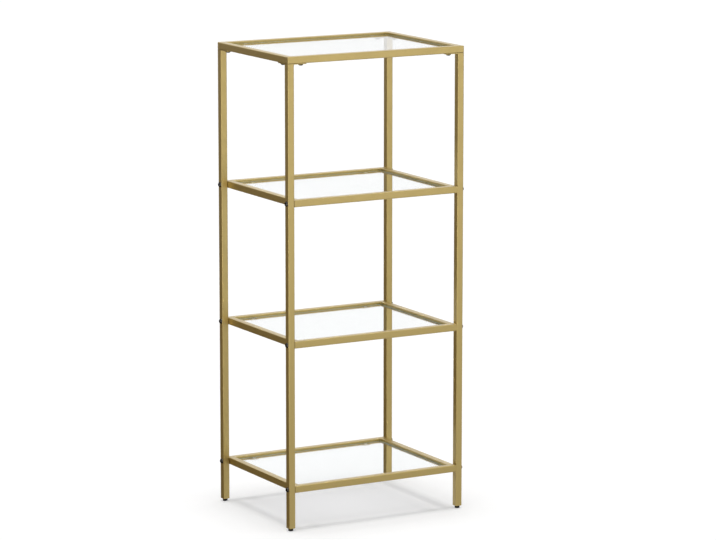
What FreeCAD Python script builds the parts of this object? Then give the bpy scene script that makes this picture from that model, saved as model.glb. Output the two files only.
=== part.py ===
import FreeCAD, Part
import math
import os

from FreeCAD import Vector

# A four-tier etagere: square steel tube posts, a top frame on corner plates, three bolted shelf
# frames, loose glass panes on padded tabs, and levelling feet. Millimetres, +Z up, +Y to the back.
# The origin is on the floor under the middle of the footprint.

# Overall sizes
WIDTH = 400.0               # over the posts, left to right
DEPTH = 300.0               # over the posts, front to back
HEIGHT = 950.0              # from the floor to the top of the top frame

# Heights of the undersides of the three bolted frames above the floor
LOWER_FRAME_HEIGHT = 77.5
MIDDLE_FRAME_HEIGHT = 370.5
UPPER_FRAME_HEIGHT = 653.0

# Square tube of the posts and rails
TUBE = 14.0
WALL = 1.0
TUBE_RADIUS = 1.6           # of the outer corners
LEAST_RADIUS = 0.2          # of the inner corners, where the wall takes up the outer radius

# Glass panes
GLASS = 5.0
GLASS_DROP = 4.5            # from the top of a frame down to the top of its pane
GLASS_GAP = 1.0             # between a pane and its frame, all round
GLASS_CORNER = 3.0          # radius of a pane's corners, seen from above
GLASS_ARRIS = 0.6           # bevel along the edges of a pane

# Tabs on the front and back rails, and the clear pads on them
TAB = 1.5
TAB_WIDTH = 20.0
TAB_REACH = 12.0            # out from the rail
TAB_FROM_CORNER = 40.0      # from the inner corner of the frame to the middle of the tab
TAB_CORNER = 3.0
PAD = 1.0
PAD_DIAMETER = 8.0
PAD_EDGE = 0.25             # bevel round the top of a pad

# Button-head bolts and screws with a hexagon socket
THREAD = 6.0
THREAD_GAP = 0.05           # between a thread and what it screws into, on the radius
BOLT_HOLE_GAP = 0.3         # between a bolt and a plain hole, on the radius
HEAD_DIAMETER = 10.5
HEAD_HEIGHT = 3.3
HEAD_RIM = 0.5              # straight edge below the dome
HEAD_FLAT = 5.6             # diameter of the flat on top
SOCKET = 4.0                # across the flats
SOCKET_DEPTH = 2.0
BOLT_POINT = 0.6            # bevel at the end of the thread

# Threaded plugs in the ends of the front and back rails
PLUG_GAP = 0.1              # between a plug and the tube round it
BOLT_GRIP = 11.0            # length of a bolt's thread inside a plug
PLUG_PAST_BOLT = 3.0        # from the end of the bolt to the end of the plug

# Corner plates between the posts and the top frame, with their screws and nuts
PLATE = 1.5
PLATE_CORNER = 2.0          # radius at the ends of the arms
SCREW_INSET = 32.0          # from the outer face of the frame to a screw
PLATE_PAST_SCREW = 10.0     # from a screw to the end of the arm
NUT = 5.0                   # height of a square nut
NUT_GAP = 1.0               # between a nut and the walls of the rail
SCREW_PAST_NUT = 2.5

# Levelling feet: a round base on a threaded stud, in an insert in the end of each post
FOOT_HEIGHT = 5.5
FOOT_DIAMETER = 10.0
FOOT_ROUND = 1.2            # rounding at the bottom of the base
FOOT_BEVEL = 0.4            # at the top of the base
STUD_LENGTH = 20.0          # above the base
STUD_IN_BASE = 3.5
INSERT_LENGTH = 18.0

# Sizes that follow from the ones above
INNER = TUBE - 2 * WALL
INNER_RADIUS = max(TUBE_RADIUS - WALL, LEAST_RADIUS)
HALF_WIDTH = WIDTH / 2
HALF_DEPTH = DEPTH / 2
POST_X = HALF_WIDTH - TUBE / 2
POST_Y = HALF_DEPTH - TUBE / 2
TOP_FRAME_HEIGHT = HEIGHT - TUBE
PLATE_HEIGHT = TOP_FRAME_HEIGHT - PLATE
FRAME_WIDTH = WIDTH - 2 * TUBE
SIDE_RAIL_LENGTH = DEPTH - 2 * TUBE
THREAD_HOLE = THREAD / 2 + THREAD_GAP
BOLT_HOLE = THREAD / 2 + BOLT_HOLE_GAP
PLATE_ARM = SCREW_INSET + PLATE_PAST_SCREW
GLASS_UNDERSIDE = TUBE - GLASS_DROP - GLASS   # above the underside of the frame
PAD_UNDERSIDE = GLASS_UNDERSIDE - PAD
TAB_UNDERSIDE = PAD_UNDERSIDE - TAB
PLUG_SIDE = INNER - 2 * PLUG_GAP

ORIGIN = Vector(0, 0, 0)
UP = Vector(0, 0, 1)
TO_RIGHT = Vector(1, 0, 0)
TO_BACK = Vector(0, 1, 0)

# Sides of the middle, -1 or 1 in X and Y, of each corner, anticlockwise from above
CORNERS = {
    "front_left": (-1, -1),
    "front_right": (1, -1),
    "back_right": (1, 1),
    "back_left": (-1, 1),
}
TOP_RAILS = ["front", "right", "back", "left"]
BOLTED_FRAMES = {
    "lower": LOWER_FRAME_HEIGHT,
    "middle": MIDDLE_FRAME_HEIGHT,
    "upper": UPPER_FRAME_HEIGHT,
}


# Shared shapes

def face_from_corners(corners):
    """Flat face in the XY plane from (x, y, radius) corners, with straight sides between them."""
    points = [Vector(x, y, 0) for x, y, radius in corners]
    bends = []
    for index, (x, y, radius) in enumerate(corners):
        corner = points[index]
        before = (points[index - 1] - corner).normalize()
        after = (points[(index + 1) % len(points)] - corner).normalize()
        half = before.getAngle(after) / 2
        setback = radius / math.tan(half)
        crown = radius / math.sin(half) - radius
        inwards = (before + after).normalize()
        bends.append((corner + before * setback, corner + inwards * crown, corner + after * setback))
    edges = []
    for index, (start, middle, end) in enumerate(bends):
        if corners[index][2] > 0:
            edges.append(Part.Arc(start, middle, end).toShape())
        next_start = bends[(index + 1) % len(bends)][0]
        edges.append(Part.makeLine(end, next_start))
    return Part.Face(Part.Wire(edges))


def rounded_rectangle(width, depth, radius):
    """Face of a rectangle with rounded corners, centred on the origin."""
    x = width / 2
    y = depth / 2
    return face_from_corners([(-x, -y, radius), (x, -y, radius), (x, y, radius), (-x, y, radius)])


def bar(side, radius, length):
    """Square bar with rounded edges, standing on the origin along Z."""
    return rounded_rectangle(side, side, radius).extrude(UP * length)


def tube(length):
    """Length of the square tube, standing on the origin along Z and open at both ends."""
    return bar(TUBE, TUBE_RADIUS, length).cut(bar(INNER, INNER_RADIUS, length))


def rod(radius, start, direction, length):
    """Round cutter or bar from a start point along a direction."""
    return Part.makeCylinder(radius, length, start, direction)


def along_x(shape):
    """Lay a shape that stands along +Z down along +X."""
    turned = shape.copy()
    turned.rotate(ORIGIN, TO_BACK, 90)
    return turned


def along_y(shape):
    """Lay a shape that stands along +Z down along +Y."""
    turned = shape.copy()
    turned.rotate(ORIGIN, TO_RIGHT, -90)
    return turned


def moved(shape, x, y, z):
    """Copy of a shape, moved by x, y and z."""
    return shape.translated(Vector(x, y, z))


def revolved(edges):
    """Solid made by turning a closed outline in the XZ plane about the Z axis."""
    face = Part.Face(Part.Wire(edges))
    return face.revolve(ORIGIN, UP, 360)


def outline_edges(points):
    """Straight edges from each (x, z) point to the next, in the XZ plane."""
    places = [Vector(x, 0, z) for x, z in points]
    return [Part.makeLine(start, end) for start, end in zip(places, places[1:])]


# Fasteners

def head_dome():
    """Arc of the head's dome, from its rim up to the flat, on a sphere centred on the axis."""
    rim = HEAD_DIAMETER / 2
    flat = HEAD_FLAT / 2
    rise = HEAD_HEIGHT - HEAD_RIM
    centre = (flat ** 2 + HEAD_HEIGHT ** 2 - rim ** 2 - HEAD_RIM ** 2) / (2 * rise)
    radius = math.hypot(rim, HEAD_RIM - centre)
    low = math.atan2(HEAD_RIM - centre, rim)
    high = math.atan2(HEAD_HEIGHT - centre, flat)
    middle = (low + high) / 2
    places = []
    for angle in (low, middle, high):
        places.append(Vector(radius * math.cos(angle), 0, centre + radius * math.sin(angle)))
    return Part.Arc(*places).toShape()


def button_bolt(length):
    """Button-head bolt with its head above z = 0 and its plain-modelled thread below."""
    radius = THREAD / 2
    rim = HEAD_DIAMETER / 2
    shank = [(0, -length), (radius - BOLT_POINT, -length), (radius, BOLT_POINT - length), (radius, 0)]
    edges = outline_edges(shank + [(rim, 0), (rim, HEAD_RIM)])
    edges.append(head_dome())
    edges += outline_edges([(HEAD_FLAT / 2, HEAD_HEIGHT), (0, HEAD_HEIGHT), (0, -length)])
    across_corners = SOCKET / math.cos(math.pi / 6)
    hexagon = []
    for turn in range(7):
        angle = turn * math.pi / 3
        hexagon.append(Vector(math.cos(angle), math.sin(angle), 0) * (across_corners / 2))
    socket = Part.Face(Part.makePolygon(hexagon)).extrude(UP * SOCKET_DEPTH)
    return revolved(edges).cut(moved(socket, 0, 0, HEAD_HEIGHT - SOCKET_DEPTH))


def frame_bolts(frame_height):
    """Four bolts through the posts into the ends of one frame's front and back rails."""
    bolt = button_bolt(TUBE + BOLT_GRIP)
    middle = frame_height + TUBE / 2
    bolts = []
    for side_x, side_y in CORNERS.values():
        turned = bolt.copy()
        turned.rotate(ORIGIN, TO_BACK, 90 * side_x)
        bolts.append(moved(turned, side_x * HALF_WIDTH, side_y * POST_Y, middle))
    return Part.makeCompound(bolts)


def rail_plugs(frame_height):
    """Four threaded plugs, flush in the ends of one frame's front and back rails."""
    length = BOLT_GRIP + PLUG_PAST_BOLT
    plug = bar(PLUG_SIDE, INNER_RADIUS, length).cut(rod(THREAD_HOLE, ORIGIN, UP, length))
    plugs = []
    for side_x, side_y in CORNERS.values():
        inner_end = FRAME_WIDTH / 2 - length
        start = inner_end if side_x > 0 else -FRAME_WIDTH / 2
        plugs.append(moved(along_x(plug), start, side_y * POST_Y, frame_height + TUBE / 2))
    return Part.makeCompound(plugs)


def top_screw_places():
    """X and Y of the eight screws under the top frame, one on each rail at each corner."""
    places = []
    for side_x, side_y in CORNERS.values():
        places.append((side_x * (HALF_WIDTH - SCREW_INSET), side_y * POST_Y))
        places.append((side_x * POST_X, side_y * (HALF_DEPTH - SCREW_INSET)))
    return places


def top_frame_screws():
    """Screws with their heads under the corner plates."""
    screw = button_bolt(PLATE + WALL + NUT + SCREW_PAST_NUT)
    screw.rotate(ORIGIN, TO_RIGHT, 180)
    return Part.makeCompound([moved(screw, x, y, PLATE_HEIGHT) for x, y in top_screw_places()])


def top_frame_nuts():
    """Square nuts on the inside of the top rails, above the screws."""
    side = INNER - 2 * NUT_GAP
    nut = bar(side, INNER_RADIUS, NUT).cut(rod(THREAD_HOLE, ORIGIN, UP, NUT))
    height = TOP_FRAME_HEIGHT + WALL
    return Part.makeCompound([moved(nut, x, y, height) for x, y in top_screw_places()])


# Posts, plates and rails

def post(side_x, side_y):
    """Post from its foot to the corner plate, with a bolt hole right through at each frame."""
    shape = moved(tube(PLATE_HEIGHT - FOOT_HEIGHT), side_x * POST_X, side_y * POST_Y, FOOT_HEIGHT)
    for frame_height in BOLTED_FRAMES.values():
        start = Vector(side_x * POST_X - TUBE, side_y * POST_Y, frame_height + TUBE / 2)
        shape = shape.cut(rod(BOLT_HOLE, start, TO_RIGHT, 2 * TUBE))
    return shape


def corner_plate(side_x, side_y):
    """L-shaped plate on top of a post, under both rails of the top frame's corner."""
    arm = PLATE_ARM
    corners = [
        (0, 0, TUBE_RADIUS),
        (arm, 0, PLATE_CORNER),
        (arm, TUBE, PLATE_CORNER),
        (TUBE, TUBE, PLATE_CORNER),
        (TUBE, arm, PLATE_CORNER),
        (0, arm, PLATE_CORNER),
    ]
    placed = []
    for x, y, radius in corners:
        placed.append((side_x * (HALF_WIDTH - x), side_y * (HALF_DEPTH - y), radius))
    if side_x * side_y < 0:
        placed.reverse()
    plate = face_from_corners(placed).extrude(UP * PLATE)
    plate = moved(plate, 0, 0, PLATE_HEIGHT)
    return cut_screw_holes(plate, PLATE_HEIGHT, PLATE)


def cut_screw_holes(shape, bottom, height):
    """Cut the plain holes of the eight top screws through a shape, from a height upwards."""
    for x, y in top_screw_places():
        shape = shape.cut(rod(BOLT_HOLE, Vector(x, y, bottom), UP, height))
    return shape


def mitre_block(turn):
    """Block over one top rail, with 45-degree ends at two corners of the rounded footprint."""
    ring = list(CORNERS.values())
    ends = [ring[turn], ring[(turn + 1) % len(ring)]]
    points = [Vector(x * HALF_WIDTH, y * HALF_DEPTH, 0) for x, y in ends]
    points += [Vector(x * (HALF_WIDTH - TUBE), y * (HALF_DEPTH - TUBE), 0) for x, y in reversed(ends)]
    trapezium = Part.Face(Part.makePolygon(points + points[:1]))
    footprint = rounded_rectangle(WIDTH, DEPTH, TUBE_RADIUS)
    block = trapezium.common(footprint).Faces[0].extrude(UP * TUBE)
    return moved(block, 0, 0, TOP_FRAME_HEIGHT)


def top_rail(turn):
    """Mitred rail of the top frame, with screw holes in its underside. Even turns run along X."""
    side_x, side_y = list(CORNERS.values())[turn]
    middle = TOP_FRAME_HEIGHT + TUBE / 2
    if turn % 2 == 0:
        shape = moved(along_x(tube(WIDTH)), -HALF_WIDTH, side_y * POST_Y, middle)
    else:
        shape = moved(along_y(tube(DEPTH)), side_x * POST_X, -HALF_DEPTH, middle)
    shape = shape.common(mitre_block(turn))
    return cut_screw_holes(shape, TOP_FRAME_HEIGHT, TUBE / 2).Solids[0]


def long_rail(side_y, frame_height):
    """Front or back rail of a bolted frame, from post to post."""
    shape = along_x(tube(FRAME_WIDTH))
    return moved(shape, -FRAME_WIDTH / 2, side_y * POST_Y, frame_height + TUBE / 2)


def side_rail(side_x, frame_height):
    """Left or right rail of a bolted frame, between its front and back rails."""
    shape = along_y(tube(SIDE_RAIL_LENGTH))
    x = side_x * (FRAME_WIDTH - TUBE) / 2
    return moved(shape, x, -SIDE_RAIL_LENGTH / 2, frame_height + TUBE / 2)


# Glass, tabs and pads

def glass_pane(opening_width, frame_height):
    """Loose pane with bevelled edges, inside a frame's opening."""
    width = opening_width - 2 * GLASS_GAP
    depth = SIDE_RAIL_LENGTH - 2 * GLASS_GAP
    pane = rounded_rectangle(width, depth, GLASS_CORNER).extrude(UP * GLASS)
    level_edges = [edge for edge in pane.Edges if edge.BoundBox.ZLength < GLASS / 2]
    pane = pane.makeChamfer(GLASS_ARRIS, level_edges)
    return moved(pane, 0, 0, frame_height + GLASS_UNDERSIDE)


def tab_places(opening_width):
    """X of each tab's middle and the side of its rail, front then back."""
    x = opening_width / 2 - TAB_FROM_CORNER
    return [(-x, -1), (x, -1), (-x, 1), (x, 1)]


def glass_tabs(opening_width, frame_height):
    """Tabs on the inner faces of the front and back rails, rounded at their free corners."""
    half = TAB_WIDTH / 2
    profile = [(-half, 0, 0), (half, 0, 0), (half, TAB_REACH, TAB_CORNER), (-half, TAB_REACH, TAB_CORNER)]
    tab = face_from_corners(profile).extrude(UP * TAB)
    tabs = []
    for x, side_y in tab_places(opening_width):
        turned = tab.copy()
        turned.rotate(ORIGIN, UP, 180 if side_y > 0 else 0)
        tabs.append(moved(turned, x, side_y * SIDE_RAIL_LENGTH / 2, frame_height + TAB_UNDERSIDE))
    return Part.makeCompound(tabs)


def glass_pads(opening_width, frame_height):
    """Clear round pads on the tabs, under the glass."""
    radius = PAD_DIAMETER / 2
    points = [(0, 0), (radius, 0), (radius, PAD - PAD_EDGE), (radius - PAD_EDGE, PAD), (0, PAD)]
    pad = revolved(outline_edges(points + points[:1]))
    from_rail = (GLASS_GAP + TAB_REACH) / 2
    pads = []
    for x, side_y in tab_places(opening_width):
        y = side_y * (SIDE_RAIL_LENGTH / 2 - from_rail)
        pads.append(moved(pad, x, y, frame_height + PAD_UNDERSIDE))
    return Part.makeCompound(pads)


# Levelling feet

def foot_base():
    """Round base, flat underneath, with a blind hole for the stud."""
    radius = FOOT_DIAMETER / 2
    slant = FOOT_ROUND * math.sqrt(0.5)
    edges = outline_edges([(0, 0), (radius - FOOT_ROUND, 0)])
    round_start = Vector(radius - FOOT_ROUND, 0, 0)
    round_middle = Vector(radius - FOOT_ROUND + slant, 0, FOOT_ROUND - slant)
    round_end = Vector(radius, 0, FOOT_ROUND)
    edges.append(Part.Arc(round_start, round_middle, round_end).toShape())
    edges += outline_edges([
        (radius, FOOT_ROUND),
        (radius, FOOT_HEIGHT - FOOT_BEVEL),
        (radius - FOOT_BEVEL, FOOT_HEIGHT),
        (0, FOOT_HEIGHT),
        (0, 0),
    ])
    hole_start = Vector(0, 0, FOOT_HEIGHT - STUD_IN_BASE)
    return revolved(edges).cut(rod(THREAD_HOLE, hole_start, UP, STUD_IN_BASE))


def foot_stud():
    """Threaded stud, from the bottom of the hole in the base up into the insert."""
    radius = THREAD / 2
    bottom = FOOT_HEIGHT - STUD_IN_BASE
    top = FOOT_HEIGHT + STUD_LENGTH
    points = [(0, bottom), (radius, bottom), (radius, top - BOLT_POINT), (radius - BOLT_POINT, top), (0, top)]
    return revolved(outline_edges(points + points[:1]))


def foot_insert():
    """Threaded insert, flush with the end of the post."""
    insert = bar(PLUG_SIDE, INNER_RADIUS, INSERT_LENGTH)
    insert = insert.cut(rod(THREAD_HOLE, ORIGIN, UP, INSERT_LENGTH))
    return moved(insert, 0, 0, FOOT_HEIGHT)


# The whole assembly, one named piece or group of like pieces at a time

def shelf_nodes(tier, opening_width, frame_height):
    """Pane, tabs and pads of one tier."""
    return {
        tier + "_glass": glass_pane(opening_width, frame_height),
        tier + "_glass_tabs": glass_tabs(opening_width, frame_height),
        tier + "_glass_pads": glass_pads(opening_width, frame_height),
    }


def assembly():
    """Every piece by its name."""
    nodes = {}
    for name, (side_x, side_y) in CORNERS.items():
        x = side_x * POST_X
        y = side_y * POST_Y
        nodes[name + "_post"] = post(side_x, side_y)
        nodes[name + "_plate"] = corner_plate(side_x, side_y)
        nodes[name + "_foot_insert"] = moved(foot_insert(), x, y, 0)
        nodes[name + "_foot_stud"] = moved(foot_stud(), x, y, 0)
        nodes[name + "_foot_base"] = moved(foot_base(), x, y, 0)
    for turn, side in enumerate(TOP_RAILS):
        nodes["top_" + side + "_rail"] = top_rail(turn)
    nodes["top_frame_screws"] = top_frame_screws()
    nodes["top_frame_nuts"] = top_frame_nuts()
    nodes.update(shelf_nodes("top", WIDTH - 2 * TUBE, TOP_FRAME_HEIGHT))
    for tier, frame_height in BOLTED_FRAMES.items():
        nodes[tier + "_front_rail"] = long_rail(-1, frame_height)
        nodes[tier + "_back_rail"] = long_rail(1, frame_height)
        nodes[tier + "_left_rail"] = side_rail(-1, frame_height)
        nodes[tier + "_right_rail"] = side_rail(1, frame_height)
        nodes[tier + "_rail_plugs"] = rail_plugs(frame_height)
        nodes[tier + "_frame_bolts"] = frame_bolts(frame_height)
        nodes.update(shelf_nodes(tier, FRAME_WIDTH - 2 * TUBE, frame_height))
    return nodes


os.makedirs("parts", exist_ok=True)
for node, shape in assembly().items():
    shape.exportStep(os.path.join("parts", node + ".step"))
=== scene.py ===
import math

import bpy
import numpy as np
from bpy.props import FloatProperty, FloatVectorProperty, IntProperty, PointerProperty
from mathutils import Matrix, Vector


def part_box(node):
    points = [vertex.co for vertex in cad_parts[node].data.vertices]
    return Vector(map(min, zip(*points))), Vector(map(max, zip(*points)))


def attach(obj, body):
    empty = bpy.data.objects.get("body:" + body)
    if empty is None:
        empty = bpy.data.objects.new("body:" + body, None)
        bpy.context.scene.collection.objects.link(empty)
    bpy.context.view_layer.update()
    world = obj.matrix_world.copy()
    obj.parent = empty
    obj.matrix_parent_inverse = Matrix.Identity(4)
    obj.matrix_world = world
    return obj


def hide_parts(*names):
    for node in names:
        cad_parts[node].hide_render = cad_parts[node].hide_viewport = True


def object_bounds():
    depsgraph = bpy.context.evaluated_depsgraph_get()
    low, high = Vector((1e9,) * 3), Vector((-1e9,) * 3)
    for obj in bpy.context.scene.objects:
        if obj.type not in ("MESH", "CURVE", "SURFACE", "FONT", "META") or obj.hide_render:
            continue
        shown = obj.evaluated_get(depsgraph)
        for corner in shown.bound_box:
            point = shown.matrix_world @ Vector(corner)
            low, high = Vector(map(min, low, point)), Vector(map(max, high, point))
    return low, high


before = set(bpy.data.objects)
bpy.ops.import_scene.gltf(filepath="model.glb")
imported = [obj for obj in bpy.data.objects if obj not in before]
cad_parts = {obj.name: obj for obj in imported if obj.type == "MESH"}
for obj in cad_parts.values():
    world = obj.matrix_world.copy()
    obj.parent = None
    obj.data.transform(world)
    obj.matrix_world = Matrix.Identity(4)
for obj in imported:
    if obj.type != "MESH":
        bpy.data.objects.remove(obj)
cad_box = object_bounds()

bl_info = {
    "name": "Etagere looks",
    "version": (1, 0, 0),
    "blender": (4, 5, 0),
    "location": "3D View > Sidebar > Etagere",
    "description": "Finishes, fasteners, welds and studio for a gold and glass etagere",
    "category": "Object",
}

# Names in the frame. A corner has its sides of the middle, -1 or 1 in X and Y
CORNERS = {
    "front_left": (-1, -1),
    "front_right": (1, -1),
    "back_right": (1, 1),
    "back_left": (-1, 1),
}
BOLTED_TIERS = ("lower", "middle", "upper")
TIERS = BOLTED_TIERS + ("top",)
RAILS = ("front", "right", "back", "left")

# Unit directions
RIGHT = np.array([1.0, 0.0, 0.0])
BACK = np.array([0.0, 1.0, 0.0])
UP = np.array([0.0, 0.0, 1.0])

MILLIMETRE = 0.001
WHITE = (1.0, 1.0, 1.0)

# Edges that turn further than this stay sharp
CREASE = math.radians(32)
BEAD_CREASE = math.radians(60)


def length(name, description, millimetres):
    """Length property with its default given in millimetres."""
    return FloatProperty(
        name=name,
        description=description,
        default=millimetres * MILLIMETRE,
        min=0.0,
        precision=5,
        unit="LENGTH",
    )


def colour(name, description, default):
    """Colour property, linear red, green and blue."""
    return FloatVectorProperty(
        name=name,
        description=description,
        default=default,
        min=0.0,
        max=1.0,
        subtype="COLOR",
    )


def share(name, description, default):
    """Plain share property from 0 to 1."""
    return FloatProperty(
        name=name,
        description=description,
        default=default,
        min=0.0,
        max=1.0,
        subtype="FACTOR",
    )


def angle(name, description, degrees):
    """Angle property with its default given in degrees."""
    return FloatProperty(
        name=name,
        description=description,
        default=math.radians(degrees),
        subtype="ANGLE",
    )


def strength(name, description, default):
    """Strength of a lamp or a bright card."""
    return FloatProperty(name=name, description=description, default=default, min=0.0)


def count(name, description, default, least):
    """Number of points or rows."""
    return IntProperty(name=name, description=description, default=default, min=least)


class EtagereFinishes(bpy.types.PropertyGroup):
    """Colours and surface of every finish"""

    coat: colour("Gold coat", "Pale gold of the tubes, plates and tabs", (0.45, 0.338, 0.118))
    coat_shade: share("Coat shade", "How far the gold varies from place to place", 0.06)
    coat_roughness: share("Coat roughness", "Middle roughness of the satin coat", 0.4)
    coat_peel: length("Coat peel", "Size of the dimples in the sprayed coat", 1.4)
    coat_flake: length("Coat flake", "Size of the metal flakes in the coat", 0.5)
    glass_face: colour("Glass", "Tint seen through the face of a pane", (0.925, 0.945, 0.95))
    glass_edge: colour("Glass edge", "Green of the polished edge of a pane", (0.55, 0.78, 0.71))
    glass_wave: length("Glass wave", "Length of the faint waves of toughened glass", 45.0)
    glass_wave_height: length("Glass wave height", "Height of those waves", 0.01)
    oxide: colour("Dark oxide", "Blackened steel of the bolts and screws", (0.07, 0.064, 0.056))
    zinc: colour("Zinc", "Plated steel of the studs, nuts and plugs", (0.60, 0.61, 0.60))
    zinc_spangle: length("Zinc spangle", "Size of the grains in the plating", 1.2)
    nylon: colour("Nylon", "Moulded plastic of the feet and inserts", (0.007, 0.007, 0.0075))
    nylon_grain: length("Nylon grain", "Size of the grain of the mould", 0.35)
    silicone: colour("Silicone", "Clear soft pads under the glass", (0.86, 0.89, 0.87))


class EtagerePanes(bpy.types.PropertyGroup):
    """Sizes of the edges of the glass"""

    corner: length("Corner", "Radius of a pane's corners, seen from above", 3.0)
    arris: length("Arris", "Bevel along the edges of a pane", 0.6)
    corner_points: count("Corner points", "Points round one corner of a pane", 9, 2)


class EtagereFasteners(bpy.types.PropertyGroup):
    """Sizes of the threads and heads"""

    thread: length("Thread", "Outer diameter of the thread", 6.0)
    pitch: length("Pitch", "Rise of the thread in one turn", 1.0)
    thread_depth: length("Thread depth", "From crest to root", 0.61)
    point: length("Point", "Bevel at the end of a thread", 0.6)
    rim: length("Rim", "Straight edge below the dome of a head", 0.5)
    rim_round: length("Rim round", "Rounding where a head meets its seat", 0.2)
    flat: length("Flat", "Diameter of the flat on a head", 5.6)
    socket: length("Socket", "Hexagon across its flats", 4.0)
    socket_depth: length("Socket depth", "From the flat to the floor of the socket", 2.0)
    socket_bevel: length("Socket bevel", "Bevel at the mouth of the socket", 0.2)
    screw_inset: length("Screw inset", "From the outer face of the top frame to a screw", 32.0)
    columns: count("Columns", "Points round a fastener, a multiple of six", 48, 12)
    rows_per_turn: count("Rows in a turn", "Rows of points along one turn of a thread", 8, 4)
    round_rows: count("Rim round rows", "Rows of points on the rounding at the seat", 5, 2)
    dome_rows: count("Dome rows", "Rows of points on the dome of a head", 14, 2)


class EtagereWelds(bpy.types.PropertyGroup):
    """Sizes of the weld beads under the coat"""

    leg: length("Leg", "Reach of a bead along each face", 1.3)
    swell: share("Swell", "How far a bead bulges from flat to round", 0.25)
    ripple: length("Ripple", "Length of one ripple along a bead", 1.1)
    ripple_height: share("Ripple height", "Height of a ripple as a share of the bead", 0.07)
    ripple_lag: share("Ripple lag", "How far the middle of a ripple runs ahead, in ripples", 0.3)
    tube_round: length("Tube round", "Corner radius of the square tube", 1.6)
    proud: length("Proud", "How far a filled seam stands above the tube", 0.12)
    tab_width: length("Tab width", "Width of a tab that carries the glass", 20.0)
    rows_per_ripple: count("Rows in a ripple", "Rows of points along one ripple", 6, 2)
    least_rows: count("Least rows", "Rows of points along the shortest bead", 8, 2)
    corner_points: count("Corner points", "Points across a bead in an inside corner", 9, 3)
    groove_points: count("Groove points", "Points across a filled seam", 7, 3)


class EtagereStudio(bpy.types.PropertyGroup):
    """Camera, lamp, cards and floor"""

    camera_place: FloatVectorProperty(
        name="Camera",
        description="Place of the camera",
        default=(-3.4219, -6.1630, 1.7599),
        subtype="TRANSLATION",
        unit="LENGTH",
    )
    camera_turn: angle("Turn", "Turn of the view from straight back towards the right", 29.33)
    camera_dip: angle("Dip", "Dip of the view below level", 10.223)
    lens: FloatProperty(
        name="Lens",
        description="Focal length on a sensor 36 mm wide",
        default=177.4,
        min=1.0,
        unit="CAMERA",
    )
    floor: share("Floor", "Grey of the floor as the lamp sees it", 0.6)
    floor_lift: share("Floor lift", "White added to the floor as the eye and the metal see it", 0.44)
    ambient: share("Ambient", "Strength of the light from all round", 0.3)
    overhead: strength("Overhead", "Strength of the wide lamp overhead", 2.2)
    overhead_spread: angle("Overhead spread", "Angle across the wide lamp overhead", 20.0)
    softbox: strength("Soft box", "Brightness of the card that the front faces mirror", 1.46)
    strip: strength("Strip", "Brightness of the card that the posts' left edges mirror", 4.5)
    left_flag: colour("Left flag", "Brown of the card that the left faces mirror", (0.23, 0.18, 0.1))
    right_flag: colour("Right flag", "Brown of the card at the right", (0.06, 0.048, 0.034))
    mat: colour("Mat", "Grey of the floor in front, as the metal mirrors it", (0.7, 0.7, 0.7))


SETTINGS = {
    "etagere_finishes": EtagereFinishes,
    "etagere_panes": EtagerePanes,
    "etagere_fasteners": EtagereFasteners,
    "etagere_welds": EtagereWelds,
    "etagere_studio": EtagereStudio,
}


# Meshes

def closed_tube(points, first_pole, last_pole):
    """Closed surface from a grid of points, with its columns wrapped round and a pole at each end.

    The columns turn anticlockwise as seen from the last row, so that the faces point outwards.
    """
    rows, columns = points.shape[:2]
    here = np.arange(rows * columns).reshape(rows, columns)
    beside = np.roll(here, -1, axis=1)
    quads = np.stack([here[:-1], beside[:-1], beside[1:], here[1:]], axis=-1).reshape(-1, 4)
    first = np.full(columns, rows * columns)
    last = first + 1
    first_fan = np.stack([first, beside[0], here[0]], axis=-1)
    last_fan = np.stack([last, here[-1], beside[-1]], axis=-1)
    every_point = np.concatenate([points.reshape(-1, 3), [first_pole], [last_pole]])
    return every_point, quads, np.concatenate([first_fan, last_fan])


def placed(shell, axes, origin):
    """Copy of a shell with its own X, Y and Z laid along the rows of axes, from an origin."""
    points, quads, fans = shell
    return points @ np.array(axes) + np.array(origin), quads, fans


def add_piece(name, shells, material, body, crease):
    """One object at the origin from closed shells, smooth up to a crease angle, riding on a body."""
    starts = np.cumsum([0] + [len(points) for points, quads, fans in shells])
    every_point = np.concatenate([points for points, quads, fans in shells])
    every_quad = np.concatenate([quads + start for (_, quads, _), start in zip(shells, starts)])
    every_fan = np.concatenate([fans + start for (_, _, fans), start in zip(shells, starts)])
    mesh = bpy.data.meshes.new(name)
    mesh.from_pydata(every_point.tolist(), [], every_quad.tolist() + every_fan.tolist())
    mesh.shade_smooth()
    mesh.set_sharp_from_angle(angle=crease)
    mesh.materials.append(material)
    made = bpy.data.objects.new(name, mesh)
    bpy.context.scene.collection.objects.link(made)
    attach(made, body)
    return made


# Glass

def pane_shell(low, high, sizes):
    """Pane that fills a box: a rectangle with round corners, bevelled above and below.

    Each row is the outline at one height. Its corners are arcs about four fixed centres, and the
    radius is less by the arris in the first and last row, which draws the whole outline in.
    """
    turn = np.linspace(0, np.pi / 2, sizes.corner_points)
    bearing = (turn + np.arange(4)[:, None] * (np.pi / 2)).ravel()
    middle_x = (low.x + high.x) / 2
    middle_y = (low.y + high.y) / 2
    reach_x = (high.x - low.x) / 2 - sizes.corner
    reach_y = (high.y - low.y) / 2 - sizes.corner
    centre_x = middle_x + reach_x * np.repeat([1, -1, -1, 1], sizes.corner_points)
    centre_y = middle_y + reach_y * np.repeat([1, 1, -1, -1], sizes.corner_points)
    inset = np.array([sizes.arris, 0.0, 0.0, sizes.arris])[:, None]
    level = np.array([low.z, low.z + sizes.arris, high.z - sizes.arris, high.z])[:, None]
    radius = sizes.corner - inset
    x = centre_x + radius * np.cos(bearing)
    y = centre_y + radius * np.sin(bearing)
    points = np.stack([x, y, level + 0 * bearing], axis=-1)
    return closed_tube(points, (middle_x, middle_y, low.z), (middle_x, middle_y, high.z))


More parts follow.
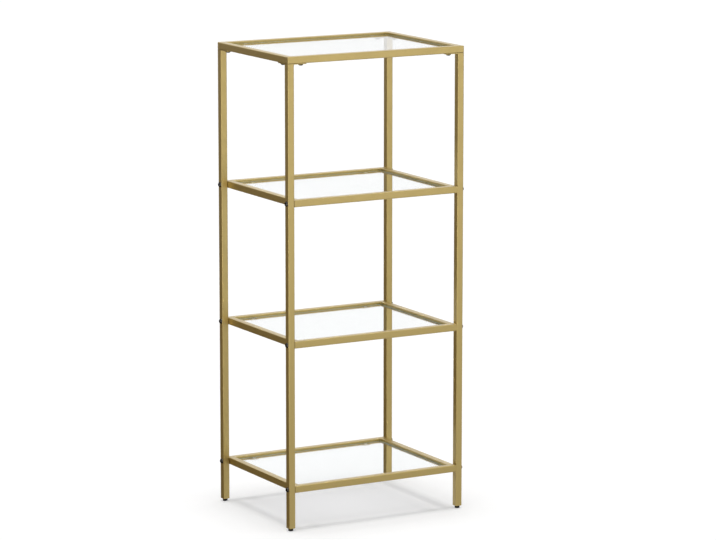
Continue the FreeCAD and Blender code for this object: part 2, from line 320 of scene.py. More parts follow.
def finish_edges(mesh, edge):
    """Give the sides and bevels of a pane a finish of their own, and leave its two level faces."""
    mesh.materials.append(edge)
    level = 0.9
    normals = np.zeros(len(mesh.polygons) * 3)
    mesh.polygons.foreach_get("normal", normals)
    upward = np.abs(normals.reshape(-1, 3)[:, 2])
    mesh.polygons.foreach_set("material_index", (upward < level).astype(np.int32))


# Fasteners

def thread_radius(bearing, height, sizes):
    """Radius of a right-handed thread: a triangular wave of height over pitch, less the turn.

    The crests and roots of the wave are cut flat, over an eighth and a quarter of the pitch.
    """
    turn = height / sizes.pitch - bearing / (2 * np.pi)
    wave = np.abs(2 * (turn - np.floor(turn)) - 1)
    crest = 1 / 8
    root = 1 / 4
    slope = np.clip((wave - crest) / (1 - crest - root), 0, 1)
    return sizes.thread / 2 - sizes.thread_depth * slope


def threaded_rows(bottom, top, bearing, sizes):
    """Radius and height of the rows of a thread, from a bevelled bottom end up to a top."""
    turns = (top - bottom) / sizes.pitch
    rows = max(2, round(turns * sizes.rows_per_turn))
    height = np.linspace(bottom, top, rows)[:, None] + 0 * bearing
    end_bevel = sizes.thread / 2 - sizes.point + (height - bottom)
    return np.minimum(thread_radius(bearing, height, sizes), end_bevel), height


def head_rows(head_height, head_radius, bearing, sizes):
    """Radius and height of a button head's rows, from its seat over the dome into the socket.

    The dome is an arc whose circle is centred on the axis. The socket's radius is half its width
    across the flats over the cosine of the turn from the nearest flat. Its mouth is a circle round
    the hexagon's corners, and a smaller hexagon lies on its floor.
    """
    flat = sizes.flat / 2
    rise = head_height - sizes.rim
    centre = (flat ** 2 + head_height ** 2 - head_radius ** 2 - sizes.rim ** 2) / (2 * rise)
    dome_radius = math.hypot(head_radius, sizes.rim - centre)
    low = math.atan2(sizes.rim - centre, head_radius)
    high = math.atan2(head_height - centre, flat)
    dome = np.linspace(low, high, sizes.dome_rows)
    seat = np.linspace(0, np.pi / 2, sizes.round_rows)
    round_radius = head_radius - sizes.rim_round * (1 - np.sin(seat))
    round_height = sizes.rim_round * (1 - np.cos(seat))
    radius = np.concatenate([[sizes.thread / 2], round_radius, dome_radius * np.cos(dome)])
    height = np.concatenate([[0.0], round_height, centre + dome_radius * np.sin(dome)])
    sector = np.pi / 3
    hexagon = sizes.socket / 2 / np.cos(np.mod(bearing, sector) - sector / 2)
    mouth = sizes.socket / 2 / math.cos(sector / 2) + sizes.socket_bevel / 2
    floor = head_height - sizes.socket_depth
    outer_radius = radius[:, None] + 0 * bearing
    outer_height = height[:, None] + 0 * bearing
    socket_radius = np.stack([mouth + 0 * bearing, hexagon, hexagon, hexagon / 2])
    socket_height = np.array([head_height, head_height - sizes.socket_bevel, floor, floor])
    return (
        np.concatenate([outer_radius, socket_radius]),
        np.concatenate([outer_height, socket_height[:, None] + 0 * bearing]),
    )


def turned_shell(radius, height, bearing):
    """Shell round the Z axis from the radius and height of each row and column of a grid."""
    points = np.stack([radius * np.cos(bearing), radius * np.sin(bearing), height], axis=-1)
    first_pole = (0.0, 0.0, float(height[0].mean()))
    last_pole = (0.0, 0.0, float(height[-1].mean()))
    return closed_tube(points, first_pole, last_pole)


def bearings_round(sizes):
    """Bearings of the columns round a fastener."""
    return np.arange(sizes.columns) * (2 * np.pi / sizes.columns)


def bolt_shell(shank, head_height, head_radius, sizes):
    """Button-head bolt with its seat at the origin, its head along +Z and its thread below."""
    bearing = bearings_round(sizes)
    shank_radius, shank_height = threaded_rows(-shank, 0.0, bearing, sizes)
    top_radius, top_height = head_rows(head_height, head_radius, bearing, sizes)
    radius = np.concatenate([shank_radius, top_radius])
    height = np.concatenate([shank_height, top_height])
    return turned_shell(radius, height, bearing)


def stud_shell(bottom, top, sizes):
    """Threaded stud along Z, bevelled at both ends."""
    bearing = bearings_round(sizes)
    radius, height = threaded_rows(bottom, top, bearing, sizes)
    top_bevel = sizes.thread / 2 - sizes.point + (top - height)
    return turned_shell(np.minimum(radius, top_bevel), height, bearing)


def node_points(node):
    """Every point of a CAD node as an array."""
    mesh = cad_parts[node].data
    flat = np.zeros(len(mesh.vertices) * 3)
    mesh.vertices.foreach_get("co", flat)
    return flat.reshape(-1, 3)


def frame_bolt_shells(tier, sizes):
    """Four bolts through the posts into one frame, with the place and length of the CAD bolts."""
    low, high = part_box(tier + "_frame_bolts")
    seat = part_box("front_right_post")[1].x
    inner_end = np.abs(node_points(tier + "_frame_bolts")[:, 0]).min()
    head_radius = (high.z - low.z) / 2
    shell = bolt_shell(seat - inner_end, high.x - seat, head_radius, sizes)
    middle = (low.z + high.z) / 2
    shells = []
    for side_x, side_y in CORNERS.values():
        axes = [side_x * BACK, UP, side_x * RIGHT]
        shells.append(placed(shell, axes, (side_x * seat, side_y * (high.y - head_radius), middle)))
    return shells


def top_screw_shells(sizes):
    """Eight screws with their heads under the corner plates, at the place of the CAD screws."""
    low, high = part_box("top_frame_screws")
    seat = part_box("front_left_plate")[0].z
    outer_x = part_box("top_front_rail")[1].x
    outer_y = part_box("top_right_rail")[1].y
    rail_low, rail_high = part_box("top_right_rail")
    middle = (rail_high.x - rail_low.x) / 2
    head_radius = high.x - (outer_x - middle)
    shell = bolt_shell(high.z - seat, seat - low.z, head_radius, sizes)
    axes = [RIGHT, -BACK, -UP]
    shells = []
    for side_x, side_y in CORNERS.values():
        near_x = (side_x * (outer_x - sizes.screw_inset), side_y * (outer_y - middle), seat)
        near_y = (side_x * (outer_x - middle), side_y * (outer_y - sizes.screw_inset), seat)
        shells.append(placed(shell, axes, near_x))
        shells.append(placed(shell, axes, near_y))
    return shells


# Welds

def bead_shell(start, end, first, second, fan_angle, reach, sizes):
    """Bead along a straight seam: a fan of reach r(t) about it, from one direction to another.

    At share s of the seam and angle t the point lies r(t) * e(s) * (1 + ripple) from the seam.
    e(s) rounds the ends off, and the ripple is a sine along the seam, bowed across the bead.
    """
    start = np.array(start, float)
    end = np.array(end, float)
    if np.dot(np.cross(first, second), end - start) < 0:
        start, end = end, start
    seam = np.linalg.norm(end - start)
    ripples = seam / sizes.ripple
    rows = max(sizes.least_rows, round(ripples * sizes.rows_per_ripple))
    along = np.linspace(0, 1, rows + 2)[1:-1, None]
    squareness = 6
    ends = np.sqrt(1 - np.abs(2 * along - 1) ** squareness)
    bow = np.sin(np.pi * (fan_angle - fan_angle[0]) / (fan_angle[-1] - fan_angle[0]))
    ripple = sizes.ripple_height * np.sin(2 * np.pi * (along * ripples + sizes.ripple_lag * bow))
    distance = reach * ends * (1 + ripple * bow)
    fan = np.cos(fan_angle)[:, None] * first + np.sin(fan_angle)[:, None] * second
    spine = start + along * (end - start)
    surface = spine[:, None, :] + distance[:, :, None] * fan[None]
    points = np.concatenate([spine[:, None, :], surface], axis=1)
    return closed_tube(points, start, end)


def corner_bead(start, end, first, second, sizes):
    """Bead in a square inside corner, between a flat and a round section."""
    fan_angle = np.linspace(0, np.pi / 2, sizes.corner_points)
    straight = 1 / (np.cos(fan_angle) + np.sin(fan_angle))
    reach = sizes.leg * ((1 - sizes.swell) * straight + sizes.swell)
    return bead_shell(start, end, first, second, fan_angle, reach, sizes)


def groove_bead(start, end, out, across, sizes):
    """Bead that fills the groove between a tube's end and the round edge of another tube.

    Its top is a line at the height of the tubes' faces, at r(t) = height over the cosine of t. It
    stands proud by one arch of a sine over the eighth of a turn that the fan spans.
    """
    fan_angle = np.linspace(0, np.pi / 4, sizes.groove_points)
    reach = (sizes.tube_round + sizes.proud * np.sin(4 * fan_angle)) / np.cos(fan_angle)
    return bead_shell(start, end, out, across, fan_angle, reach, sizes)


def inner_corner(tier, side_x, side_y):
    """X and Y of a frame's inner corner."""
    side_low, side_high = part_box(tier + ("_right_rail" if side_x > 0 else "_left_rail"))
    long_low, long_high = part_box(tier + ("_back_rail" if side_y > 0 else "_front_rail"))
    x = side_low.x if side_x > 0 else side_high.x
    y = long_low.y if side_y > 0 else long_high.y
    return x, y


def inside_beads(tier, sizes):
    """Upright beads in the four inner corners of one frame."""
    low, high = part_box(tier + "_front_rail")
    bottom = low.z + sizes.tube_round
    top = high.z - sizes.tube_round
    beads = []
    for side_x, side_y in CORNERS.values():
        x, y = inner_corner(tier, side_x, side_y)
        upright = (x, y, bottom), (x, y, top)
        beads.append(corner_bead(*upright, -side_x * RIGHT, -side_y * BACK, sizes))
    return beads


def seam_beads(tier, sizes):
    """Filled seams across the side rails of one bolted frame, above and below, at all corners."""
    low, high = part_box(tier + "_left_rail")
    half = (high.x - low.x) / 2 - sizes.tube_round
    beads = []
    for side_x, side_y in CORNERS.values():
        x, y = inner_corner(tier, side_x, side_y)
        middle = x + side_x * (half + sizes.tube_round)
        for level, out in ((high.z - sizes.tube_round, UP), (low.z + sizes.tube_round, -UP)):
            across = (middle - half, y, level), (middle + half, y, level)
            beads.append(groove_bead(*across, out, side_y * BACK, sizes))
    return beads


def tab_beads(tier, sizes):
    """Beads under the four tabs of one frame, along the rails that hold them."""
    low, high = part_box(tier + "_glass_tabs")
    margin = sizes.leg
    beads = []
    for side_x, side_y in CORNERS.values():
        y = high.y if side_y > 0 else low.y
        outer = side_x * (high.x - margin)
        inner = side_x * (high.x - sizes.tab_width + margin)
        along = (outer, y, low.z), (inner, y, low.z)
        beads.append(corner_bead(*along, -side_y * BACK, -UP, sizes))
    return beads


def plate_beads(sizes):
    """Beads under the corner plates, along the two inner faces of each post."""
    inset = sizes.tube_round
    beads = []
    for corner, (side_x, side_y) in CORNERS.items():
        low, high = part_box(corner + "_post")
        x = low.x if side_x > 0 else high.x
        y = low.y if side_y > 0 else high.y
        along_y = (x, low.y + inset, high.z), (x, high.y - inset, high.z)
        along_x = (low.x + inset, y, high.z), (high.x - inset, y, high.z)
        beads.append(corner_bead(*along_y, -side_x * RIGHT, -UP, sizes))
        beads.append(corner_bead(*along_x, -side_y * BACK, -UP, sizes))
    return beads


# Shader nodes

# Sockets of a Mix node that mixes colours, because its other kinds share their names
COLOUR_A = 6
COLOUR_B = 7
COLOUR_RESULT = 2

# Most values of a soft noise lie between these
NOISE_LOW = 0.3
NOISE_HIGH = 0.7


def add_node(tree, kind, values=None, **settings):
    """New shader node with its settings and plain input values."""
    made = tree.nodes.new(kind)
    for name, value in settings.items():
        setattr(made, name, value)
    for name, value in (values or {}).items():
        made.inputs[name].default_value = value
    return made


def new_finish(name, values):
    """Material with a Principled shader, its plain values set on the shader's own sockets."""
    material = bpy.data.materials.new(name)
    material.use_nodes = True
    shader = material.node_tree.nodes["Principled BSDF"]
    for socket, value in values.items():
        shader.inputs[socket].default_value = value
    return material, material.node_tree, shader


def object_place(tree):
    """Place on the object, in metres in the shared frame."""
    return add_node(tree, "ShaderNodeTexCoord").outputs["Object"]


def noise(tree, size, detail):
    """Soft noise with features of a size."""
    made = add_node(tree, "ShaderNodeTexNoise", {"Scale": 1 / size, "Detail": detail})
    tree.links.new(object_place(tree), made.inputs["Vector"])
    return made.outputs[0]


def cells(tree, size):
    """One random grey for each cell of a size, as flakes and grains have."""
    made = add_node(tree, "ShaderNodeTexVoronoi", {"Scale": 1 / size})
    tree.links.new(object_place(tree), made.inputs["Vector"])
    grey = add_node(tree, "ShaderNodeSeparateColor")
    tree.links.new(made.outputs["Color"], grey.inputs["Color"])
    return grey.outputs[0]


def average(tree, one, other):
    """Middle of two factors."""
    mix = add_node(tree, "ShaderNodeMix", {"Factor": 0.5})
    tree.links.new(one, mix.inputs["A"])
    tree.links.new(other, mix.inputs["B"])
    return mix.outputs["Result"]


def vary_colour(tree, shader, factor, middle, shade):
    """Base colour from darker to lighter than its middle by a shade, along a factor."""
    mix = add_node(tree, "ShaderNodeMix", data_type="RGBA")
    darker = [value * (1 - shade) for value in middle]
    lighter = [min(1.0, value * (1 + shade)) for value in middle]
    mix.inputs[COLOUR_A].default_value = (*darker, 1.0)
    mix.inputs[COLOUR_B].default_value = (*lighter, 1.0)
    tree.links.new(factor, mix.inputs["Factor"])
    tree.links.new(mix.outputs[COLOUR_RESULT], shader.inputs["Base Color"])


def vary_roughness(tree, shader, factor, low, high):
    """Roughness from low to high along a soft noise."""
    reach = {"From Min": NOISE_LOW, "From Max": NOISE_HIGH, "To Min": low, "To Max": high}
    span = add_node(tree, "ShaderNodeMapRange", reach)
    tree.links.new(factor, span.inputs["Value"])
    tree.links.new(span.outputs["Result"], shader.inputs["Roughness"])


def roughen(tree, shader, factor, depth, weight):
    """Bump of a depth in metres from a factor."""
    bump = add_node(tree, "ShaderNodeBump", {"Strength": weight, "Distance": depth})
    tree.links.new(factor, bump.inputs["Height"])
    tree.links.new(bump.outputs["Normal"], shader.inputs["Normal"])


def join(tree, kind, sources, **settings):
    """New shader node whose first inputs are linked to sources, or set where one is a number."""
    made = add_node(tree, kind, **settings)
    for socket, source in zip(made.inputs, sources):
        if isinstance(source, float):
            socket.default_value = source
        else:
            tree.links.new(source, socket)
    return made.outputs[0]


def pass_rays(tree, surface, rays, tint):
    """Put a surface on the output that lets rays of some kinds straight through, with a tint."""
    path = add_node(tree, "ShaderNodeLightPath")
    straight = add_node(tree, "ShaderNodeBsdfTransparent", {"Color": (*tint, 1.0)})
    for ray in rays:
        sources = path.outputs[ray], surface, straight.outputs["BSDF"]
        surface = join(tree, "ShaderNodeMixShader", sources)
    tree.links.new(surface, tree.nodes["Material Output"].inputs["Surface"])


# Finishes

def gold_coat(finishes):
    """Satin metallic powder coat under lacquer: drifting tone, fine flakes and sprayed dimples."""
    lacquer = {"Coat Weight": 0.5, "Coat Roughness": 0.3, "Coat IOR": 1.5}
    material, tree, shader = new_finish("gold_coat", {"Metallic": 0.9, **lacquer})
    drift = noise(tree, size=70 * MILLIMETRE, detail=2.0)
    tone = average(tree, drift, cells(tree, finishes.coat_flake))
    vary_colour(tree, shader, tone, finishes.coat, finishes.coat_shade)
    clouds = noise(tree, size=20 * MILLIMETRE, detail=3.0)
    middle = finishes.coat_roughness
    spread = 0.04
    vary_roughness(tree, shader, clouds, low=middle - spread, high=middle + spread)
    dimples = noise(tree, finishes.coat_peel, detail=2.0)
    roughen(tree, shader, dimples, depth=0.04 * MILLIMETRE, weight=0.35)
    return material


def clear_glass(finishes):
    """Clear pane with the faint waves of toughened glass. Light on its way to matt surfaces passes."""
    clear = {"Transmission Weight": 1.0, "IOR": 1.5, "Roughness": 0.0}
    material, tree, shader = new_finish("clear_glass", clear)
    streaks = noise(tree, size=50 * MILLIMETRE, detail=3.0)
    vary_colour(tree, shader, streaks, finishes.glass_face, shade=0.015)
    waves = noise(tree, finishes.glass_wave, detail=0.0)
    roughen(tree, shader, waves, finishes.glass_wave_height, weight=1.0)
    dimmed = (0.93, 0.93, 0.935)
    pass_rays(tree, shader.outputs["BSDF"], ("Is Diffuse Ray", "Is Shadow Ray"), dimmed)
    return material


def polished_edge(finishes):
    """Polished edge of a pane: green from the light that runs inside the glass, with faint marks."""
    cloudy = {"Transmission Weight": 0.3, "IOR": 1.5}
    material, tree, shader = new_finish("polished_edge", cloudy)
    streaks = noise(tree, size=10 * MILLIMETRE, detail=3.0)
    vary_colour(tree, shader, streaks, finishes.glass_edge, shade=0.06)
    vary_roughness(tree, shader, noise(tree, size=2 * MILLIMETRE, detail=2.0), low=0.1, high=0.22)
    marks = noise(tree, size=0.3 * MILLIMETRE, detail=2.0)
    roughen(tree, shader, marks, depth=0.01 * MILLIMETRE, weight=0.3)
    return material


def dark_oxide(finishes):
    """Blackened and polished steel: uneven dark tone and a fine tumbled surface."""
    steel = {"Metallic": 1.0, "Specular Tint": (0.35, 0.35, 0.35, 1.0)}
    material, tree, shader = new_finish("dark_oxide", steel)
    clouds = noise(tree, size=2 * MILLIMETRE, detail=3.0)
    vary_colour(tree, shader, clouds, finishes.oxide, shade=0.2)
    vary_roughness(tree, shader, noise(tree, size=MILLIMETRE, detail=2.0), low=0.06, high=0.12)
    scuffs = noise(tree, size=0.5 * MILLIMETRE, detail=2.0)
    roughen(tree, shader, scuffs, depth=0.01 * MILLIMETRE, weight=0.3)
    return material


def zinc_plate(finishes):
    """Zinc plating: pale grains of different greys, a little dull."""
    material, tree, shader = new_finish("zinc_plate", {"Metallic": 1.0})
    vary_colour(tree, shader, cells(tree, finishes.zinc_spangle), finishes.zinc, shade=0.12)
    vary_roughness(tree, shader, noise(tree, size=3 * MILLIMETRE, detail=2.0), low=0.26, high=0.42)
    pits = noise(tree, size=0.8 * MILLIMETRE, detail=2.0)
    roughen(tree, shader, pits, depth=0.01 * MILLIMETRE, weight=0.3)
    return material


def black_nylon(finishes):
    """Moulded nylon: near black, matt, with the fine grain of its mould."""
    material, tree, shader = new_finish("black_nylon", {"Specular IOR Level": 0.2})
    clouds = noise(tree, size=3 * MILLIMETRE, detail=2.0)
    vary_colour(tree, shader, clouds, finishes.nylon, shade=0.3)
    vary_roughness(tree, shader, noise(tree, size=2 * MILLIMETRE, detail=2.0), low=0.42, high=0.6)
    grain = noise(tree, finishes.nylon_grain, detail=2.0)
    roughen(tree, shader, grain, depth=0.02 * MILLIMETRE, weight=0.5)
    return material


def soft_silicone(finishes):
    """Clear soft pad: cloudy inside, with a dull skin."""
    cloudy = {"Transmission Weight": 0.6, "IOR": 1.41}
    material, tree, shader = new_finish("soft_silicone", cloudy)
    clouds = noise(tree, size=2 * MILLIMETRE, detail=3.0)
    vary_colour(tree, shader, clouds, finishes.silicone, shade=0.06)
    vary_roughness(tree, shader, noise(tree, size=MILLIMETRE, detail=2.0), low=0.25, high=0.45)
    skin = noise(tree, size=0.4 * MILLIMETRE, detail=2.0)
    roughen(tree, shader, skin, depth=0.01 * MILLIMETRE, weight=0.3)
    return material


def finish_nodes(nodes, material):
    """Give CAD nodes a finish in the slots that they already have."""
    for node in nodes:
        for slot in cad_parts[node].material_slots:
            slot.material = material


def shared_finish(name, make, finishes):
    """The finish of a name, made the first time that a piece asks for it."""
    return bpy.data.materials.get(name) or make(finishes)


# Operators, one for each group of like pieces and one for the studio

class GoldFrame(bpy.types.Operator):
    """Coat the posts, plates, rails and tabs"""

    bl_idname = "etagere.gold_frame"
    bl_label = "Gold frame"

    def execute(self, context):
        nodes = [corner + piece for corner in CORNERS for piece in ("_post", "_plate")]
        nodes += [tier + "_" + side + "_rail" for tier in TIERS for side in RAILS]
        nodes += [tier + "_glass_tabs" for tier in TIERS]
        finish_nodes(nodes, shared_finish("gold_coat", gold_coat, context.scene.etagere_finishes))
        return {"FINISHED"}


class WeldBeads(bpy.types.Operator):
    """Lay the weld beads of the frames, the tabs and the corner plates"""

    bl_idname = "etagere.weld_beads"
    bl_label = "Weld beads"

    def execute(self, context):
        sizes = context.scene.etagere_welds
        coat = shared_finish("gold_coat", gold_coat, context.scene.etagere_finishes)
        groups = {}
        for tier in TIERS:
            groups[tier + "_frame_welds"] = inside_beads(tier, sizes)
            groups[tier + "_tab_welds"] = tab_beads(tier, sizes)
        for tier in BOLTED_TIERS:
            groups[tier + "_frame_welds"] += seam_beads(tier, sizes)
        groups["plate_welds"] = plate_beads(sizes)
        for name, shells in groups.items():
            add_piece(name, shells, coat, "frame", BEAD_CREASE)
        return {"FINISHED"}


class GlassPanes(bpy.types.Operator):
    """Make the four panes of clear glass with polished edges"""

    bl_idname = "etagere.glass_panes"
    bl_label = "Glass panes"

    def execute(self, context):
        finishes = context.scene.etagere_finishes
        face = clear_glass(finishes)
        edge = polished_edge(finishes)
        for tier in TIERS:
            shells = [pane_shell(*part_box(tier + "_glass"), context.scene.etagere_panes)]
            body = tier + "_pane"
            shelf = add_piece(tier + "_shelf", shells, face, body, CREASE)
            finish_edges(shelf.data, edge)
            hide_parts(tier + "_glass")
        return {"FINISHED"}


class GlassPads(bpy.types.Operator):
    """Make the pads under the glass soft silicone"""

    bl_idname = "etagere.glass_pads"
    bl_label = "Glass pads"

    def execute(self, context):
        finishes = context.scene.etagere_finishes
        finish_nodes([tier + "_glass_pads" for tier in TIERS], soft_silicone(finishes))
        return {"FINISHED"}


class FrameBolts(bpy.types.Operator):
    """Make the threaded bolts of the three bolted frames"""

    bl_idname = "etagere.frame_bolts"
    bl_label = "Frame bolts"

    def execute(self, context):
        sizes = context.scene.etagere_fasteners
        oxide = shared_finish("dark_oxide", dark_oxide, context.scene.etagere_finishes)
        for tier in BOLTED_TIERS:
            shells = frame_bolt_shells(tier, sizes)
            bolts = add_piece(tier + "_bolts", shells, oxide, "frame", CREASE)
            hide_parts(tier + "_frame_bolts")
        return {"FINISHED"}


class TopScrews(bpy.types.Operator):
    """Make the threaded screws under the top frame"""

    bl_idname = "etagere.top_screws"
    bl_label = "Top screws"

    def execute(self, context):
        oxide = shared_finish("dark_oxide", dark_oxide, context.scene.etagere_finishes)
        shells = top_screw_shells(context.scene.etagere_fasteners)
        screws = add_piece("top_screws", shells, oxide, "frame", CREASE)
        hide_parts("top_frame_screws")
        return {"FINISHED"}


class NutsAndPlugs(bpy.types.Operator):
    """Plate the nuts and threaded plugs inside the rails"""

    bl_idname = "etagere.nuts_and_plugs"
    bl_label = "Nuts and plugs"

    def execute(self, context):
        zinc = shared_finish("zinc_plate", zinc_plate, context.scene.etagere_finishes)
        finish_nodes(["top_frame_nuts"] + [tier + "_rail_plugs" for tier in BOLTED_TIERS], zinc)
        return {"FINISHED"}


class LevellingFeet(bpy.types.Operator):
    """Make the threaded studs, and finish the bases and inserts of the feet"""

    bl_idname = "etagere.levelling_feet"
    bl_label = "Levelling feet"

    def execute(self, context):
        sizes = context.scene.etagere_fasteners
        finishes = context.scene.etagere_finishes
        zinc = shared_finish("zinc_plate", zinc_plate, finishes)
        moulded = [corner + piece for corner in CORNERS for piece in ("_foot_base", "_foot_insert")]
        finish_nodes(moulded, black_nylon(finishes))
        for corner in CORNERS:
            low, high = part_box(corner + "_foot_stud")
            axis = ((low.x + high.x) / 2, (low.y + high.y) / 2, 0.0)
            shells = [placed(stud_shell(low.z, high.z, sizes), [RIGHT, BACK, UP], axis)]
            body = corner + "_foot"
            stud = add_piece(corner + "_stud", shells, zinc, body, CREASE)
            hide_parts(corner + "_foot_stud")
        return {"FINISHED"}


# Studio

def stage_material(name):
    """Material of the studio with nothing but its output."""
    material = bpy.data.materials.new("studio_" + name)
    material.use_nodes = True
    material.node_tree.nodes.clear()
    add_node(material.node_tree, "ShaderNodeOutputMaterial")
    return material, material.node_tree


def seen_directly(tree):
    """1 for the camera's rays and for what it sees mirrored or through glass, or else 0."""
    path = add_node(tree, "ShaderNodeLightPath").outputs
    rays = path["Is Glossy Ray"], path["Is Transmission Ray"]
    mirrored = join(tree, "ShaderNodeMath", rays, operation="MAXIMUM")
    seen = join(tree, "ShaderNodeMath", (path["Is Camera Ray"], mirrored), operation="MAXIMUM")
    half_a_bounce = 0.5
    depth = path["Diffuse Depth"], half_a_bounce
    unscattered = join(tree, "ShaderNodeMath", depth, operation="LESS_THAN")
    return join(tree, "ShaderNodeMath", (seen, unscattered), operation="MULTIPLY")


def floor_finish(studio):
    """Pale floor that the lamp shades, lifted to white for the eye, the metal and the glass."""
    material, tree = stage_material("floor")
    lift = join(tree, "ShaderNodeMath", (seen_directly(tree), studio.floor_lift), operation="MULTIPLY")
    glow = add_node(tree, "ShaderNodeEmission")
    tree.links.new(lift, glow.inputs["Strength"])
    matt = add_node(tree, "ShaderNodeBsdfDiffuse", {"Color": (*[studio.floor] * 3, 1.0)})
    both = join(tree, "ShaderNodeAddShader", (matt.outputs["BSDF"], glow.outputs["Emission"]))
    tree.links.new(both, tree.nodes["Material Output"].inputs["Surface"])
    return material


def light_world(studio):
    """White surroundings to the eye, the metal and the glass, and a plain ambient light."""
    world = bpy.data.worlds.new("studio_world")
    world.use_nodes = True
    tree = world.node_tree
    tree.nodes.clear()
    white = (*WHITE, 1.0)
    ambient = add_node(tree, "ShaderNodeBackground", {"Color": white, "Strength": studio.ambient})
    bright = add_node(tree, "ShaderNodeBackground", {"Color": white, "Strength": 1.0})
    sources = seen_directly(tree), ambient.outputs["Background"], bright.outputs["Background"]
    light = join(tree, "ShaderNodeMixShader", sources)
    output = add_node(tree, "ShaderNodeOutputWorld")
    tree.links.new(light, output.inputs["Surface"])
    bpy.context.scene.world = world


def stage_card(name, profile, offsets, material):
    """Card of the studio: a profile of points, carried straight through a row of offsets."""
    points = np.array(offsets, float)[:, None] + np.array(profile, float)
    rows, columns = points.shape[:2]
    here = np.arange(rows * columns).reshape(rows, columns)
    faces = np.stack([here[:-1, :-1], here[:-1, 1:], here[1:, 1:], here[1:, :-1]], axis=-1)
    mesh = bpy.data.meshes.new(name)
    mesh.from_pydata(points.reshape(-1, 3).tolist(), [], faces.reshape(-1, 4).tolist())
    mesh.materials.append(material)
    card = bpy.data.objects.new(name, mesh)
    bpy.context.scene.collection.objects.link(card)
    return card


def mirrored_card(name, profile, offsets, tone, shade=1.0, missed=()):
    """Card that only reflections see, and not even those of the missed kinds of ray.

    The shade gives how much of the tone each point of the grid has, from white at 0 to all at 1.
    """
    material, tree = stage_material(name)
    painted = add_node(tree, "ShaderNodeAttribute", attribute_name="tone")
    glow = add_node(tree, "ShaderNodeEmission")
    tree.links.new(painted.outputs["Color"], glow.inputs["Color"])
    pass_rays(tree, glow.outputs["Emission"], missed, WHITE)
    card = stage_card(name, profile, offsets, material)
    grid = np.broadcast_to(shade, (len(offsets), len(profile)))
    paint = np.ones((grid.size, 4))
    paint[:, :3] += grid.reshape(-1, 1) * (np.array(tone) - 1)
    attribute = card.data.attributes.new("tone", "FLOAT_COLOR", "POINT")
    attribute.data.foreach_set("color", paint.ravel())
    card.visible_camera = False
    card.visible_diffuse = False
    card.visible_shadow = False
    card.visible_transmission = False


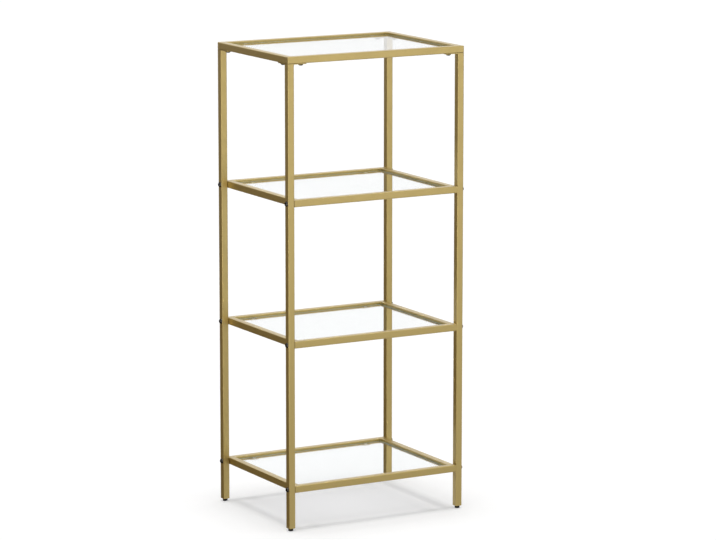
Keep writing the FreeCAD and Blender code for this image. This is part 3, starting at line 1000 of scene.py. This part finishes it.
class Studio(bpy.types.Operator):
    """Set up the floor, the surroundings, the cards, the lamp and the camera"""

    bl_idname = "etagere.studio"
    bl_label = "Studio"

    # In metres, apart from the sensor's width
    FLOOR_REACH = 60.0
    CAMERA_REACH = 200.0
    LAMP_HEIGHT = 3.0
    CARD_LIFT = 2 * MILLIMETRE
    BRIGHT_HEIGHT = 1.4
    SENSOR_MILLIMETRES = 36.0
    # Heights up to which a dark card has all its tone, and at which it has faded to white
    FLAG_HEIGHTS = (1.2, 3.0)
    # The same towards the back
    FLAG_BACKS = (4.0, 8.0)

    def execute(self, context):
        studio = context.scene.etagere_studio
        low, high = cad_box
        self.add_floor(studio)
        self.add_dark_cards(studio, low, high)
        self.add_bright_cards(studio, low)
        light_world(studio)
        self.add_lamp(studio)
        self.add_camera(studio)
        context.scene.view_settings.view_transform = "Standard"
        return {"FINISHED"}

    def add_floor(self, studio):
        """Floor out to the far distance."""
        reach = self.FLOOR_REACH
        edge = [(-reach, 0.0, 0.0), (reach, 0.0, 0.0)]
        stage_card("floor", edge, [(0.0, -reach, 0.0), (0.0, reach, 0.0)], floor_finish(studio))

    def add_dark_cards(self, studio, low, high):
        """Cards with soft borders at the left, behind and at the right.

        The left one lies on the floor from the part's side and then stands up.
        """
        lift = self.CARD_LIFT
        full, top = self.FLAG_HEIGHTS
        full_back, end = self.FLAG_BACKS
        wall = low.x - 2.0
        front, full_front = -1.0, -0.2
        left = [(low.x, 0.0, lift), (wall, 0.0, lift), (wall, 0.0, full), (wall, 0.0, top)]
        backwards = [(0.0, y, 0.0) for y in (front, full_front, full_back, end)]
        soft = np.outer([0, 1, 1, 0], [1, 1, 1, 0])
        mirrored_card("left_flag", left, backwards, studio.left_flag, soft)
        faded = high.x + 1.2
        behind = [(x, 0.0, lift) for x in (faded, high.x, low.x)]
        backwards = [(0.0, y, 0.0) for y in (high.y, full_back, end)]
        soft = np.outer([1, 1, 0], [0, 1, 1])
        mirrored_card("back_flag", behind, backwards, studio.left_flag, soft)
        wall = 2.2
        right = [(wall, y, lift) for y in (-1.9, -0.6, 0.9, 2.2)]
        upwards = [(0.0, 0.0, z) for z in (0.0, full, top)]
        soft = np.outer([1, 1, 0], [0, 1, 1, 0])
        mirrored_card("right_flag", right, upwards, studio.right_flag, soft)

    def add_bright_cards(self, studio, low):
        """Mat, soft box and strip in front, which clear glass doesn't mirror.

        The strip lies on the floor from the part's front and then stands up.
        """
        lift = self.CARD_LIFT
        top = self.BRIGHT_HEIGHT
        sharp = ("Is Singular Ray",)
        depth = 3.0
        before = [(x, low.y, lift) for x in (-0.25, 3.0)]
        forwards = [(0.0, y, 0.0) for y in (0.0, -depth)]
        mirrored_card("mat", before, forwards, studio.mat, missed=sharp)
        front_right = [(0.2, -3.3, lift), (3.0, -1.7, lift)]
        upwards = [(0.0, 0.0, z) for z in (0.0, top)]
        mirrored_card("softbox", front_right, upwards, [studio.softbox] * 3, missed=sharp)
        front_left = [(0.0, low.y, lift), (0.0, -depth, lift), (0.0, -depth, top)]
        across = [(x, 0.0, 0.0) for x in (-1.6, -1.0)]
        mirrored_card("strip", front_left, across, [studio.strip] * 3, missed=sharp)

    def add_lamp(self, studio):
        """Wide lamp that shines straight down."""
        data = bpy.data.lights.new("overhead", "SUN")
        data.energy = studio.overhead
        data.angle = studio.overhead_spread
        lamp = bpy.data.objects.new("overhead", data)
        bpy.context.scene.collection.objects.link(lamp)
        lamp.location.z = self.LAMP_HEIGHT
        lamp.visible_camera = False
        lamp.visible_transmission = False

    def add_camera(self, studio):
        """Camera at the photograph's viewing angle."""
        data = bpy.data.cameras.new("camera")
        data.sensor_fit = "HORIZONTAL"
        data.sensor_width = self.SENSOR_MILLIMETRES
        data.lens = studio.lens
        data.clip_end = self.CAMERA_REACH
        camera = bpy.data.objects.new("camera", data)
        bpy.context.scene.collection.objects.link(camera)
        camera.location = studio.camera_place
        camera.rotation_euler = (math.pi / 2 - studio.camera_dip, 0.0, -studio.camera_turn)
        bpy.context.scene.camera = camera


OPERATORS = (
    GoldFrame,
    WeldBeads,
    GlassPanes,
    GlassPads,
    FrameBolts,
    TopScrews,
    NutsAndPlugs,
    LevellingFeet,
    Studio,
)


class EtagerePanel(bpy.types.Panel):
    """Sidebar panel with the settings and one button for each group of pieces"""

    bl_idname = "VIEW3D_PT_etagere"
    bl_label = "Etagere"
    bl_space_type = "VIEW_3D"
    bl_region_type = "UI"
    bl_category = "Etagere"

    def draw(self, context):
        for operator in OPERATORS:
            self.layout.operator(operator.bl_idname)
        for setting in SETTINGS:
            group = getattr(context.scene, setting)
            self.layout.label(text=group.bl_rna.description)
            for name in group.__annotations__:
                self.layout.prop(group, name)


CLASSES = (*SETTINGS.values(), *OPERATORS, EtagerePanel)


def register():
    """Register the classes and hang the settings on the scene."""
    for cls in CLASSES:
        bpy.utils.register_class(cls)
    for name, group in SETTINGS.items():
        setattr(bpy.types.Scene, name, PointerProperty(type=group))


def unregister():
    """Take the settings off the scene and unregister the classes."""
    for name in SETTINGS:
        delattr(bpy.types.Scene, name)
    for cls in reversed(CLASSES):
        bpy.utils.unregister_class(cls)


def main():
    """Build every group of pieces and the studio."""
    register()
    bpy.ops.etagere.gold_frame()
    bpy.ops.etagere.weld_beads()
    bpy.ops.etagere.glass_panes()
    bpy.ops.etagere.glass_pads()
    bpy.ops.etagere.frame_bolts()
    bpy.ops.etagere.top_screws()
    bpy.ops.etagere.nuts_and_plugs()
    bpy.ops.etagere.levelling_feet()
    bpy.ops.etagere.studio()


if __name__ == "__main__":
    main()
